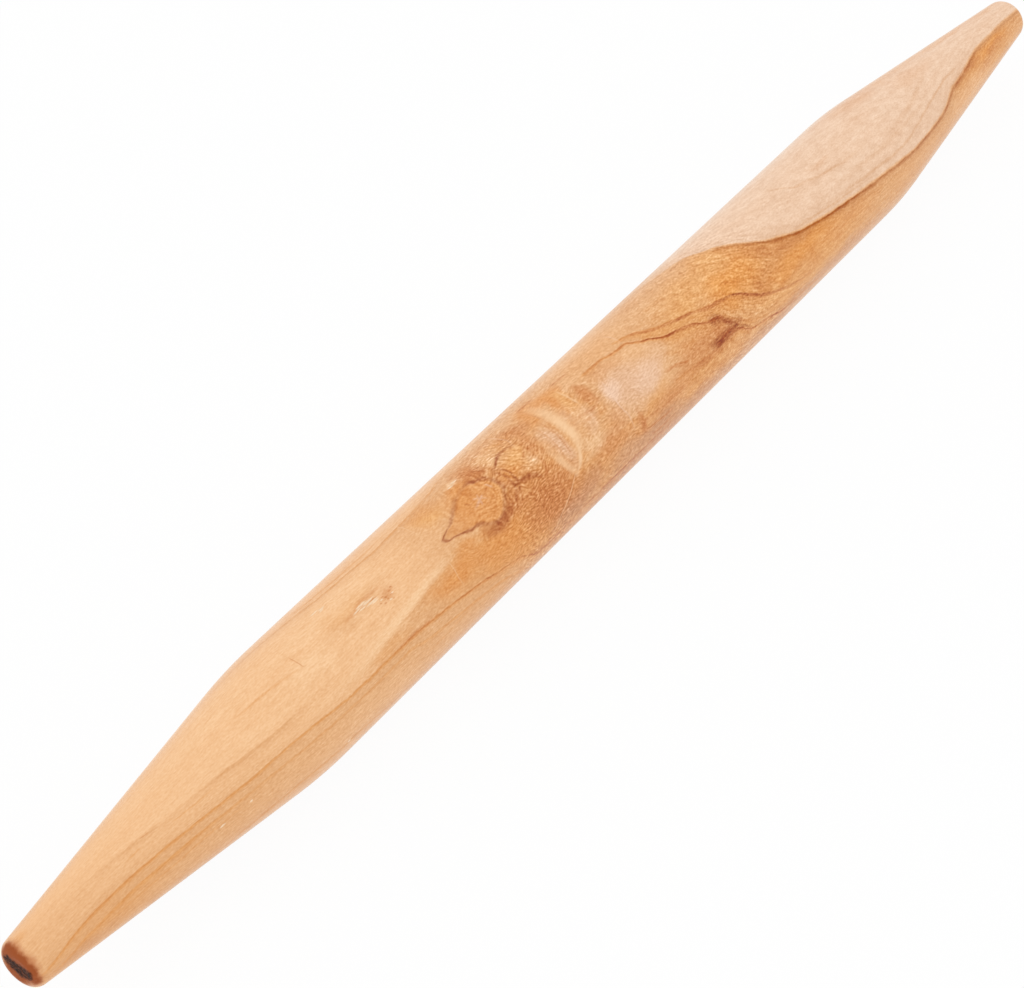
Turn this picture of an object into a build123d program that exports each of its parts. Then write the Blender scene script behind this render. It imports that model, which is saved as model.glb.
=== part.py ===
"""A French rolling pin: one length of hardwood, turned between centres.

The pin has no separate handles, axle or bearings. A straight barrel rolls the dough,
and each end tapers to a small rounded tip that the palms rest on. It is a single
piece of wood, so the model is a single solid: a half outline turned about the X axis.

Units are millimetres. The origin is the middle of the pin, on its axis. +X runs along
the pin, from the tip with the scorched end grain towards the other tip, and +Z is up
when the pin lies on a worktop, which it touches along a line under the barrel.
"""

import os

from build123d import *

# Overall size
overall_length = 500.0
barrel_diameter = 38.0

# Tapers: each one runs from its tip to the shoulder, where it meets the barrel
taper_length = 99.5
tip_diameter = 13.8

# Softened edges, sanded on the lathe
tip_edge_radius = 3.2
shoulder_radius = 160.0


def pin_outline():
    """The half outline above the axis, from one tip's centre to the other's."""
    half_length = overall_length / 2
    shoulder_x = half_length - taper_length
    tip_radius = tip_diameter / 2
    barrel_radius = barrel_diameter / 2

    corners = [
        (-half_length, 0),
        (-half_length, tip_radius),
        (-shoulder_x, barrel_radius),
        (shoulder_x, barrel_radius),
        (half_length, tip_radius),
        (half_length, 0),
    ]
    corner_radii = [tip_edge_radius, shoulder_radius, shoulder_radius, tip_edge_radius]
    turned_side = FilletPolyline(*corners, radius=corner_radii)
    centre_line = Line(corners[-1], corners[0])
    return turned_side + centre_line


def turned_pin():
    """The outline turned through a full circle about the pin's axis."""
    half_section = make_face(pin_outline())
    # The sketch plane's Y becomes +Z, so that the seam of the turned skin lies on top
    upright = half_section.rotate(Axis.X, 90)
    return revolve(upright, Axis.X, 360)


pin = turned_pin()
pin.label = "rolling_pin"

os.makedirs("parts", exist_ok=True)
export_step(pin, "parts/rolling_pin.step")
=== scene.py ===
"""A French rolling pin, turned from one length of figured hardwood, on a white studio floor.

Places along the pin are in millimetres from its middle, and grow towards the plain tip.
Places round it are in degrees from its top, and grow down the camera's side. The bark side
of the tree lay at BARK_ROUND, away from the camera, and the heart side opposite. Growth
sheets are flat and square to that direction, so each one that shows on the camera's side
comes out again on the far side.
"""

from math import atan, atan2, cos, hypot, pi, radians, sin, tan

import bpy
from bpy.props import FloatProperty, FloatVectorProperty, IntProperty, PointerProperty
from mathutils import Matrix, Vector, noise


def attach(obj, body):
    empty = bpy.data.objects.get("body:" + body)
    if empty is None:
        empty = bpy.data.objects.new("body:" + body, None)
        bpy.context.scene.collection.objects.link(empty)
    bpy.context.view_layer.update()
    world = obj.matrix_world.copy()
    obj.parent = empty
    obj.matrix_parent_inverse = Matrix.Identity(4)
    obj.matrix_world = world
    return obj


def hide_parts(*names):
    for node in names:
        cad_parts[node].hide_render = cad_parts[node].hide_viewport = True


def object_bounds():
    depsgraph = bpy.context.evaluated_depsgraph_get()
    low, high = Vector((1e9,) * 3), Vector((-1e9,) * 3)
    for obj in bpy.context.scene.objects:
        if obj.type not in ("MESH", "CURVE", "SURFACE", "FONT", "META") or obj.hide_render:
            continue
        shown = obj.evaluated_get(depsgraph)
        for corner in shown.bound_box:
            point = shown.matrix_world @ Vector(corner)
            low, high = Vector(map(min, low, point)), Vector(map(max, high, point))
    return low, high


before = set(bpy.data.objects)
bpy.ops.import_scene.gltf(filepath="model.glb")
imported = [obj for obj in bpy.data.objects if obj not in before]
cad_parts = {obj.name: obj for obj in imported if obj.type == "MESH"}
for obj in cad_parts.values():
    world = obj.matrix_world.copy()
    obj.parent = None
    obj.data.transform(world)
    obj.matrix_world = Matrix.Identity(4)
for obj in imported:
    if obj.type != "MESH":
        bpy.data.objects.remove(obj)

bl_info = {
    "name": "French Rolling Pin",
    "version": (1, 0, 0),
    "blender": (4, 5, 0),
    "location": "3D View > Sidebar > Rolling Pin",
    "description": "Turns a tapered rolling pin of figured wood and sets it on a white floor",
    "category": "Object",
}

MM = 0.001
CAD_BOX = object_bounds()
CAD_SIZE = CAD_BOX[1] - CAD_BOX[0]


def linear(hex_colour):
    """The linear colour of an sRGB hex value such as "#C08040"."""
    shares = [int(hex_colour[i:i + 2], 16) / 255 for i in (1, 3, 5)]
    return [s / 12.92 if s <= 0.04045 else ((s + 0.055) / 1.055) ** 2.4 for s in shares]


BARK_ROUND = -45

# Growth sheets from the bark side in. Each has its route as (along, round), the half width of
# its gum line in mm, how much darker than the wood that line is along the pin, how thick the
# wood is as far as the next sheet in mm, and the tone of that wood along the pin
SHEETS = (
    dict(
        name="outer arch", line=0.45, thick=5,
        route=((-250, -43), (-170, -42), (-150, -38), (-142, -36), (-133, -32), (-124, -27),
               (-116, -24), (-106, -22), (-97, -20), (-92, -21), (-85, -22.5), (-78, -24),
               (-71, -27), (-63, -33), (-50, -38), (-20, -43), (250, -44)),
        dark=((-165, 0), (-148, 0.2), (-120, 0.34), (-95, 0.32), (-75, 0.24), (-62, 0.1),
              (-52, 0)),
        tone=((-250, 0.24), (-220, 0.16), (-140, 0.13), (-100, 0.15), (-86, 0.28), (-60, 0.34),
              (-30, 0.34), (0, 0.25), (30, 0.3), (250, 0.3)),
    ),
    dict(
        name="sapwood edge", line=0.52, thick=7,
        route=((-250, -36), (-150, -31), (-133, -25), (-116, -18), (-97, -14), (-85, -17),
               (-63, -28), (-50, -34), (-20, -40), (34, -41), (42, -35), (48, -28), (53, -24),
               (57, -19), (60, -10.5), (65, -2), (70, 8.6), (76, 22.5), (80, 29), (85, 34.5),
               (90, 40), (97, 44), (104, 48), (112, 51.6), (122, 55), (133, 58.2), (144, 61),
               (158, 65.4), (168, 65.7), (176, 64.7), (182, 61.4), (187, 54.6), (191, 50.4),
               (197, 48), (203, 44), (210, 38), (217, 34), (233, 33.8), (250, 38)),
        dark=((58, 0), (66, 0.35), (78, 0.65), (90, 0.95), (115, 1), (124, 0.9), (134, 0.78),
              (150, 0.74), (170, 0.74), (185, 0.66), (197, 0.74), (212, 0.55), (226, 0.32),
              (236, 0.35), (250, 0.4)),
        tone=((-250, 0.2), (-220, 0.13), (-110, 0.12), (-86, 0.3), (-60, 0.36), (-30, 0.38),
              (0, 0.26), (20, 0.34), (45, 0.42), (60, 0.54), (70, 0.62), (84, 0.66), (96, 0.58),
              (120, 0.42), (150, 0.34), (180, 0.36), (196, 0.54), (222, 0.6), (236, 0.5),
              (250, 0.42)),
    ),
    dict(
        name="second gum line", line=0.6, thick=7,
        route=((-250, -10), (-150, 2), (-100, 7), (-80, -6), (-66, -14), (-50, -17), (-20, -18),
               (0, -11), (12, -4), (16, 0.6), (22, 11), (26, 15.6), (30, 19.4), (36, 24.5),
               (42, 30.5), (46, 33), (50, 35.8), (54, 40), (57, 45), (60, 51.4), (65, 60.4),
               (70, 67), (74, 71.4), (79, 75.5), (90, 80.5), (150, 82), (250, 80)),
        dark=((8, 0), (13, 0.3), (22, 0.3), (30, 0.38), (42, 0.3), (50, 0.32), (60, 0.36),
              (66, 0.3), (74, 0.26), (79, 0.22), (92, 0.14), (110, 0.08), (160, 0)),
        tone=((-250, 0.24), (-220, 0.16), (-190, 0.13), (-110, 0.14), (-86, 0.3), (-70, 0.42),
              (-50, 0.46), (-30, 0.4), (0, 0.3), (12, 0.36), (25, 0.5), (60, 0.5),
              (100, 0.42), (140, 0.36), (190, 0.34), (220, 0.4), (250, 0.36)),
    ),
    dict(
        name="first gum line", line=0.45, thick=7,
        route=((-250, 8), (-235, 8), (-222, 11), (-213, 16), (-206, 21), (-194, 27), (-181, 31),
               (-172, 35), (-156, 38), (-130, 37), (-99, 33), (-85, 31), (-80, 33), (-72, 40),
               (-66, 46), (-60, 46), (-52, 40), (-30, 27), (-8, -3), (1, -2), (5, 1.6),
               (11.6, 3.3), (14, 9.3), (18.7, 17), (22.3, 24), (28, 28.6), (33.7, 34),
               (39.4, 42), (43, 44), (49, 58), (54, 69), (60, 77), (70, 83), (90, 88),
               (250, 88)),
        dark=((-228, 0), (-218, 0.08), (-206, 0.18), (-198, 0.06), (-190, 0.08), (-178, 0.24),
              (-162, 0.24), (-150, 0.04), (-12, 0), (-6, 0.36), (0, 0.46), (10, 0.5), (16, 0.56),
              (22, 0.6), (26, 0.44), (30, 0.32), (42, 0.36), (46, 0)),
        tone=((-250, 0.28), (-190, 0.2), (-150, 0.17), (-110, 0.09), (-96, 0.16), (-87, 0.42),
              (-70, 0.5), (-50, 0.6), (-35, 0.5), (-15, 0.42), (0, 0.28), (12, 0.3), (20, 0.42),
              (32, 0.5), (45, 0.54), (60, 0.48), (100, 0.4), (170, 0.34), (250, 0.35)),
    ),
    dict(
        name="third gum line", line=0.45, thick=5,
        route=((-250, 55), (-217, 38), (-152, 50), (-135, 50), (-121, 47), (-110, 44), (-99, 39),
               (-92, 37), (-85, 36), (-80, 38), (-72, 45), (-66, 51), (-60, 53), (-50, 58),
               (0, 58), (19, 61.5), (33, 66), (48, 67), (51, 71), (54, 77.6), (59, 82),
               (64, 85), (70, 90.5), (75, 94), (84, 96), (101, 101), (136, 107), (250, 105)),
        dark=((16, 0), (24, 0.24), (34, 0.2), (50, 0.3), (60, 0.3), (70, 0.4), (76, 0.24),
              (90, 0.2), (130, 0.1), (150, 0)),
        tone=((-250, 0.32), (-170, 0.22), (-150, 0.2), (-125, 0.26), (-110, 0.32), (-98, 0.42),
              (-80, 0.5), (-60, 0.58), (-45, 0.62), (-35, 0.56), (-15, 0.52), (0, 0.5),
              (15, 0.5), (30, 0.54), (50, 0.48), (80, 0.42), (150, 0.36), (190, 0.32),
              (250, 0.34)),
    ),
    dict(
        name="long gum line", line=0.35, thick=4,
        route=((-250, 80), (-242, 65), (-238, 57), (-233, 51), (-226, 47), (-217, 46.4),
               (-206, 48), (-192, 51), (-178, 53.5), (-163, 54.6), (-150, 56), (-142, 58),
               (-128, 59.5), (-113, 59.5), (-103, 61.5), (-92, 65), (-83, 69), (-74, 74.4),
               (-66, 79), (-61, 87), (-56, 94), (-50, 96), (-30, 93), (0, 95), (20, 98),
               (80, 110), (250, 113)),
        dark=((-250, 0.12), (-238, 0.3), (-215, 0.36), (-190, 0.32), (-150, 0.34), (-126, 0.36),
              (-112, 0.36), (-100, 0.36), (-74, 0.34), (-60, 0.26), (-50, 0.14), (-30, 0.26),
              (5, 0.22), (14, 0)),
        tone=((-250, 0.36), (-190, 0.31), (-140, 0.28), (-100, 0.34), (-75, 0.4), (-60, 0.48),
              (-45, 0.6), (0, 0.58), (30, 0.54), (80, 0.44), (250, 0.38)),
    ),
    dict(
        name="side gum line", line=0.5, thick=10,
        route=((-250, 100), (-242, 87), (-238, 80), (-235, 74), (-229, 69), (-222, 65),
               (-213, 62), (-203, 62), (-188, 63), (-167, 65), (-147, 66), (-128, 67.5),
               (-116, 67.5), (-106, 72.7), (-96, 75.5), (-85, 80), (-78, 83), (-71, 88),
               (-64, 96), (-55, 107), (50, 115), (250, 123)),
        dark=((-250, 0.05), (-238, 0.18), (-215, 0.24), (-185, 0.18), (-150, 0.15), (-110, 0.16),
              (-80, 0.18), (-60, 0.12), (-50, 0)),
        tone=((-250, 0.4), (-190, 0.34), (-140, 0.3), (-100, 0.34), (-60, 0.42), (0, 0.5),
              (50, 0.46), (150, 0.36), (250, 0.36)),
    ),
    dict(
        name="edge gum line", line=0.5, thick=10,
        route=((-250, 127), (-198, 110), (-188, 105), (-178, 101), (-167, 98), (-156, 95),
               (-142, 96), (-133, 98), (-126, 101), (-116, 103), (-106, 105), (-99, 109),
               (-60, 120), (100, 125), (250, 130)),
        dark=((-200, 0), (-186, 0.22), (-150, 0.26), (-125, 0.24), (-100, 0.12), (-90, 0)),
        tone=((-250, 0.38), (-150, 0.26), (-100, 0.32), (-50, 0.42), (0, 0.46), (100, 0.42),
              (250, 0.4)),
    ),
)

# How strongly fine fibres show along the pin: they are most disturbed around the knot
FIBRES = ((-250, 0.26), (-180, 0.36), (-105, 0.44), (-88, 0.4), (-62, 0.62), (-48, 0.78),
          (-38, 0.64), (-28, 0.52), (-10, 0.6), (5, 0.5), (30, 0.64), (60, 0.8), (75, 0.64),
          (92, 0.48), (250, 0.45))
# How strongly growth stripes show between the gum lines
STRIPES = ((-250, 0.25), (-170, 0.4), (-110, 0.7), (-70, 0.9), (-40, 1.2), (60, 1.1), (100, 0.9),
           (250, 0.8))
# How far the fibres swirl from the line of the pin
CURL = ((-250, 0.06), (-110, 0.12), (-85, 0.5), (-62, 1), (-12, 0.9), (20, 0.5), (50, 0.25),
        (80, 0.12), (250, 0.06))

# Soft areas of colour: along, round, half length and half width in mm, colour and strength. The
# rosy bands on the lower side, round 72 to 98 degrees, are partly the wood's pinkish tint and
# partly painted shade with a painted reflection of the pale floor
PATCHES = (
    (-246, -14, 3, 4, "gold", 0.5),
    (-225, 77, 22, 9, "gold", 0.35),
    (-236, 90, 14, 5, "rosy_tint_and_shade", 0.4),
    (-142, 20, 12, 6, "cream", 0.5),
    (-118, 10, 16, 3.6, "tan", 0.6),
    (-120, 3, 12, 3, "honey", 0.3),
    (-120, 52, 11, 2.2, "gold", 0.45),
    (-109, 21, 4, 1.6, "rust", 0.6),
    (-88, 47, 14, 4, "amber", 0.85),
    (-80, 35, 6, 2.6, "amber", 0.65),
    (-68, 54, 15, 5.5, "amber", 0.95),
    (-64, 70, 16, 6, "amber", 0.6),
    (-80, -8, 8, 6.4, "honey", 0.95),
    (-79, -14, 9, 4, "rust", 0.35),
    (-70, 5, 6, 5, "amber", 0.5),
    (-66, -5, 6, 3, "amber", 0.8),
    (-66, 43, 8, 2.8, "brown", 0.8),
    (-58, 39, 6, 3.6, "brown", 0.8),
    (-71, 36, 4, 2.6, "amber", 0.6),
    (-50, 31, 4, 2.6, "brown", 0.5),
    (-54.6, 20, 3.4, 7, "brown", 0.7),
    (-46, 57, 14, 9, "brown", 0.95),
    (-40, 46, 5, 5, "rust", 0.5),
    (-38, 84, 14, 5, "rosy_tint_and_shade", 0.9),
    (-34, 75, 12, 5, "brown", 0.45),
    (-59, -6, 5.4, 5, "brown", 0.95),
    (-60, -17, 6, 3, "brown", 0.35),
    (-52, -9, 6, 4, "cream", 0.35),
    (-65, -14, 3.4, 1.8, "cream", 0.6),
    (-52, -21, 14, 3, "rust", 0.35),
    (-39, 10, 5, 8, "rust", 0.75),
    (-38, -10, 8, 3.6, "brown", 0.55),
    (-50, 15, 6.5, 4, "amber", 0.9),
    (-46, 10, 5, 4, "honey", 0.9),
    (-42.4, 25, 2.4, 1.8, "cream", 0.5),
    (-33, 28, 3.4, 9, "blush", 0.85),
    (-34, -20, 7, 3, "tan", 0.5),
    (-25, -17, 10, 3.6, "amber", 0.7),
    (-31, -11, 4, 5, "amber", 0.6),
    (0, -15, 18, 5, "gold", 0.35),
    (48, -25, 30, 4, "tan", 0.4),
    (-20, -12, 6, 4, "amber", 0.8),
    (-18.8, 2, 2.8, 7, "honey", 0.9),
    (-22, -2, 2.6, 5, "amber", 0.85),
    (-22, 50, 6, 5, "cream", 0.5),
    (-19, 30, 5, 5, "blush", 0.6),
    (-20.6, 22, 3.4, 5, "pale", 0.75),
    (-13, 13, 2.6, 5.4, "rust", 0.95),
    (-17, 63, 10, 5, "rust", 0.8),
    (-30, 72, 7, 5, "rosy_tint_and_shade", 0.5),
    (-10, 50, 5, 4, "rust", 0.5),
    (0, 34, 12, 8.6, "blush", 0.95),
    (-5, 28, 4, 5, "shell", 0.9),
    (9, 38, 8, 5, "shell", 0.6),
    (15, 32, 6, 6, "blush", 0.5),
    (-1, 8, 9, 3.5, "rust", 0.35),
    (-3, 67, 2.2, 5, "brown", 0.85),
    (-8, 68, 8, 5, "rust", 0.3),
    (6, 58, 9, 3, "gold", 0.5),
    (4, 84, 16, 4, "rosy_tint_and_shade", 0.9),
    (-12, 82, 14, 4, "rosy_tint_and_shade", 0.6),
    (12, 70, 12, 4, "rust", 0.6),
    # Long rosy bands along the lower side: painted shade and painted reflection over a pinkish tint
    (15, 98, 60, 4, "rosy_tint_and_shade", 0.6),
    (20, 61, 7, 3, "rust", 0.6),
    (32, 53, 13, 5.4, "rust", 0.8),
    (42, 56, 6, 4.6, "brown", 0.75),
    (51, 30, 8, 6, "orange", 0.7),
    (34, 18, 14, 4, "honey", 0.7),
    (46, 8, 20, 8, "honey", 0.7),
    (58, 30, 14, 8, "orange", 0.8),
    (58, 2, 8, 6, "honey", 0.8),
    (84, 58, 22, 5, "orange", 0.7),
    (102, 54, 16, 3, "orange", 0.4),
    (155, 76, 34, 8, "gold", 0.35),
    (98, 78, 32, 5, "honey", 0.5),
    (74, 74, 16, 4, "honey", 0.7),
    (112, 66, 26, 4, "amber", 0.4),
    # Another long rosy band along the lower side: painted shade and painted reflection over a
    # pinkish tint
    (95, 98, 50, 4, "rosy_tint_and_shade", 0.5),
    (205, 79, 24, 7, "pale", 0.6),
    (222, 47, 16, 4, "orange", 0.8),
    (225, 52, 8, 2.6, "brown", 0.6),
    (204, 47, 13, 1.8, "brown", 0.6),
    (230, 80, 22, 5, "honey", 0.6),
)

# Streaks: route as (along, round, strength), half width in mm and colour
STREAKS = (
    (((-200, 32, 0), (-194, 34, 0.6), (-188, 36, 0.5), (-182, 37, 0)), 0.45, "gold"),
    (((-215, 28.6, 0), (-212, 28.4, 0.6), (-209, 28, 0)), 0.5, "gold"),
    (((-208, 20, 0), (-206.6, 21, 0.7), (-205, 22, 0)), 0.4, "brown"),
    (((-170, 3, 0), (-157, 8, 0.5), (-150, 12, 0.4), (-140, 16, 0)), 0.7, "gold"),
    (((-228, 80, 0), (-218, 75.5, 0.6), (-206, 74, 0.6), (-188, 71, 0.4), (-170, 72, 0)), 0.7,
     "gold"),
    (((-130, -37, 0), (-121, -32, 0.7), (-111, -28.5, 0.8), (-102, -27, 0.6), (-90, -28, 0)),
     0.7, "gold"),
    (((-143, 17, 0), (-143.4, 12, 0.5), (-143.6, 6, 0.5), (-143.4, 0, 0)), 0.3, "brown"),
    (((-112, 84, 0), (-103, 84, 0.4), (-92, 82, 0.4), (-82, 78, 0)), 0.7, "gold"),
    (((-118, 58.8, 0), (-113, 59.2, 0.5), (-106, 60.4, 0.6), (-102, 62, 0)), 1, "brown"),
    (((-155, 49, 0), (-135, 49, 0.3), (-118, 44, 0.6), (-104, 38, 0.7), (-94, 35, 0.6),
      (-84, 32, 0)), 2, "cream"),
    (((-126, 13, 0), (-121, 12, 0.5), (-116, 9, 0.6), (-110, 11, 0.3), (-106, 15, 0)), 0.8,
     "rust"),
    (((-121, 14.5, 0), (-117, 13, 0.6), (-113, 14.6, 0.6), (-111.5, 15, 0)), 0.4, "brown"),
    # Beside the knot
    (((-55, 24, 0), (-52.5, 27, 0.5), (-50, 30, 0.75), (-48, 32, 0.7), (-46, 35, 0.6),
      (-44, 38, 0)), 1.4, "gum"),
    (((-55, 5, 0), (-53, 3.5, 0.5), (-51, 0.5, 0.7), (-49, -2, 0.7), (-47, -2.5, 0.5),
      (-43, 0, 0.2)), 0.9, "gum"),
    (((-42.5, 9, 0), (-41, 12, 0.8), (-39.4, 13.5, 0.8), (-38, 15, 0)), 1.2, "brown"),
    (((-46, 17, 0), (-44, 14, 0.6), (-42, 8, 0.6), (-41, 2, 0)), 0.8, "brown"),
    (((-46, 44, 0), (-43, 38, 0.6), (-41.5, 32, 0.8), (-41, 26, 0)), 1, "brown"),
    (((-74, 37, 0), (-71, 40, 0.4), (-67, 42.6, 0.6), (-63, 42.4, 0.6), (-60, 40, 0.5),
      (-58, 36, 0)), 2.3, "gum"),
    # The arch and the columns past it
    (((-31.2, -4, 0), (-31, 10, 0.45), (-31.2, 25, 0.5), (-31.8, 38, 0.5), (-32.6, 46, 0)), 0.6,
     "brown"),
    (((-29.6, -16, 0), (-29.4, 0, 0.4), (-29.6, 20, 0.3), (-30.4, 38, 0)), 0.5, "rust"),
    (((-34, -2, 0), (-33.8, 12, 0.4), (-34, 28, 0.4), (-34.4, 42, 0)), 0.5, "rust"),
    (((-11.8, 28, 0), (-12, 20, 0.5), (-12.6, 12, 0.5), (-13, 4, 0)), 1.2, "brown"),
    (((-24, 23, 0), (-20, 24.5, 0.4), (-15, 26.5, 0.5), (-12, 24, 0.4), (-10, 20, 0)), 0.7,
     "brown"),
    (((-22, 30, 0), (-18, 31, 0.4), (-14, 33, 0.4), (-9, 34, 0)), 0.7, "rust"),
    (((-30.4, -25, 0), (-29, -24.6, 0.9), (-24, -24.2, 0.9), (-22.3, -24, 0)), 0.6, "brown"),
    (((-17, -20, 0), (-14, -19, 0.7), (-10, -18, 0.6), (-8, -17, 0)), 0.6, "brown"),
    (((-3.4, 76, 0), (2, 79, 0.7), (8, 81, 0.7), (14, 82.5, 0)), 0.7, "brown"),
    (((0, 87, 0), (4, 89, 0.7), (9, 89.5, 0.6), (13, 88, 0)), 0.6, "brown"),
    (((-4, 66, 0), (4, 70, 0.5), (14, 72, 0.5), (26, 72, 0)), 0.8, "brown"),
    # The hook and the bar between the gum lines
    (((39, 43, 0), (41, 45, 0.8), (43, 46.6, 0.9), (44.4, 50, 0.85), (46, 55, 0.85),
      (48, 59, 0.75), (50, 63, 0.6)), 2.5, "gum"),
    (((34, 62.6, 0), (37, 63.4, 0.6), (41, 64, 0.95), (46, 64, 0.95), (49, 63.4, 0.8),
      (52, 63, 0)), 2.5, "gum"),
    (((46, 66, 0), (49, 67.6, 0.5), (52, 71, 0.5), (54, 76, 0.3)), 0.9, "gum"),
    (((14, 48.5, 0), (17, 49, 0.7), (20, 51, 0.7), (23, 54.5, 0.9), (24.5, 56, 0)), 0.8,
     "brown"),
    (((17.5, 51, 0), (21, 54, 0.6), (24, 57.5, 0)), 0.6, "brown"),
    (((20, 70, 0), (30, 70, 0.5), (40, 71, 0.5), (48, 72, 0)), 0.9, "brown"),
)

# Pale streaks, in the same form: their wood is dense, and shows few fibres
PALE_STREAKS = (
    (((-52, 100, 0), (-50, 92, 0.4), (-47, 83, 0.6), (-42, 73, 0.7), (-38, 65, 0.7),
      (-34.5, 57, 0.6)), 0.32, "cream"),
    (((-37, 22, 0), (-36.9, 30, 0.3), (-36.5, 38, 0.5), (-35.8, 46, 0.6), (-34.6, 53, 0.5),
      (-33, 58, 0)), 2, "cream"),
    (((-34, 58, 0.5), (-31.4, 54, 0.65), (-29.6, 48, 0.8), (-28.4, 42, 0.75), (-27.6, 34, 0)), 1.5,
     "cream"),
    (((-28, 46, 0), (-27.4, 38, 0.6), (-26.8, 28, 0.85), (-26.8, 18, 0.85), (-27, 8, 0.75),
      (-27.2, 0, 0.6), (-27.4, -8, 0.45), (-27.6, -14, 0.35), (-27.8, -20, 0)), 3, "cream"),
    (((-24.6, 34, 0), (-23.6, 24, 0.3), (-23.6, 14, 0.3), (-24.4, 4, 0)), 2.4, "blush"),
    (((-17.3, -12, 0), (-17.3, 0, 0.5), (-17.2, 10, 0.5), (-17, 19, 0)), 0.5, "cream"),
    (((-5.5, 14, 0), (-6.3, 22, 0.7), (-6.8, 32, 0.8), (-7.2, 42, 0.5), (-6.4, 55, 0.4),
      (-6.6, 70, 0)), 0.4, "shell"),
    (((-43.5, -32, 0), (-43, -20, 0.3), (-42.4, -8, 0.3), (-42.6, 0, 0)), 0.35, "shell"),
    (((11.4, -22, 0), (11.7, -12, 0.4), (11.4, -3, 0.3), (10.6, 2, 0)), 0.3, "shell"),
    (((-87.4, -33, 0), (-86.8, -20, 0.4), (-87, -6, 0.3), (-87.2, 6, 0)), 0.3, "cream"),
    (((-88.4, 33, 0), (-88, 42, 0.4), (-88.4, 54, 0.3), (-88.2, 62, 0)), 0.3, "cream"),
)

# Faint lines in the sapwood, in the same form
SAPWOOD_LINES = (
    (((100, 40, 0), (112, 42, 0.3), (126, 46.6, 0.45), (133, 48.5, 0.55), (152, 51.4, 0.55),
      (158, 50, 0.5), (169, 44, 0.55), (179, 39, 0.6), (187, 34.5, 0.65), (193, 32, 0.5),
      (204, 32, 0)), 1, "fawn"),
    (((96, -15, 0), (102, 1, 0.5), (104, 7, 0.5), (110, 12, 0.3), (118, 18, 0.45),
      (126, 22, 0.35), (138, 25, 0)), 0.9, "fawn"),
    (((146, 36, 0), (158, 31, 0.3), (168, 26, 0.4), (178, 17, 0.3), (190, 5, 0)), 1.8, "fawn"),
    (((112, 33, 0), (130, 36, 0.25), (150, 38, 0.3), (166, 36, 0.25), (180, 28, 0)), 1.6,
     "fawn"),
    (((86, 34, 0), (98, 39, 0.5), (110, 44, 0.6), (124, 49, 0.4), (136, 54, 0)), 0.7, "fawn"),
)
# Soft darker areas of the sapwood, in the same form as PATCHES. The blush and tan ones round -27 to
# -37 degrees darken the far taper towards its upper edge, as painted shade
SAPWOOD_PATCHES_AND_SHADE = (
    (161, -27, 26, 5.4, "blush", 0.95),
    (239, -28, 12, 6, "tan", 0.55),
    (225, -30, 26, 3, "blush", 0.9),
    (192, -37, 52, 6, "tan", 0.6),
    (181, -3, 15, 6, "blush", 0.6),
    (119, 6, 6, 1.6, "blush", 0.5),
)

# How far the heartwood's colour spreads into the sapwood along its edge
BLEED = ((58, 0.1), (75, 0.3), (90, 0.45), (110, 0.3), (140, 0.12), (160, 0), (178, 0.2),
         (188, 0.5), (203, 0.42), (217, 0.08), (250, 0))

# The knot: its middle, how far it turns the fibres aside in mm, its outline, and the dark
# lines that lie against it
KNOT = (-68, 18)
KNOT_REACH = 9
KNOT_RIM = (
    (-84, 19, 0.72), (-80.6, 24, 0.75), (-75.6, 29, 0.7), (-71, 33, 0.5), (-69, 37, 0.4),
    (-64, 39.5, 0.45), (-61, 33.5, 0.42), (-58.4, 26, 0.45), (-57, 18, 0.5), (-57.4, 11, 0.5),
    (-59, 4, 0.55), (-61.6, -0.5, 0.65), (-63.4, -3, 0.5), (-67.7, -1.4, 0.2), (-71, 2, 0.4),
    (-74, 6.6, 0.5), (-77.7, 13, 0.5), (-81, 16, 0.65),
)
KNOT_SHELLS = (
    ((-59, 42, 0), (-56, 35, 0.45), (-54.2, 27, 0.45), (-53.8, 18, 0.5), (-54.6, 10, 0.4),
     (-56, 4, 0)),
    ((-56, 40, 0), (-53.6, 32, 0.35), (-52.2, 24, 0.45), (-52, 16, 0.45), (-52.8, 9, 0.4),
     (-55, 4, 0)),
)
# Pale rays and dark checks in the knot's heart
KNOT_RAYS = (
    (((-69.5, 19, 0), (-67, 17.4, 0.4), (-65.5, 16, 0.5), (-63.5, 14.5, 0)), 0.7, "shell"),
    (((-66.4, 22, 0), (-66, 18.5, 0.4), (-65.4, 14, 0.4), (-65, 10, 0)), 0.7, "shell"),
    (((-67.4, 11, 0), (-66, 13.6, 0.35), (-64.6, 17, 0.35), (-63.4, 20, 0)), 0.6, "shell"),
    (((-67, 14.6, 0), (-66.4, 17.6, 0.8), (-65.6, 20, 0)), 0.35, "brown"),
    (((-64.6, 12, 0), (-64, 15, 0.7), (-62.6, 16.4, 0)), 0.4, "brown"),
    (((-70.4, 9, 0), (-69.4, 12, 0.7), (-68.4, 14.4, 0)), 0.8, "brown"),
    (((-60.6, 8, 0), (-59.8, 12, 0.5), (-59.6, 17, 0)), 0.6, "shell"),
)

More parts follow.
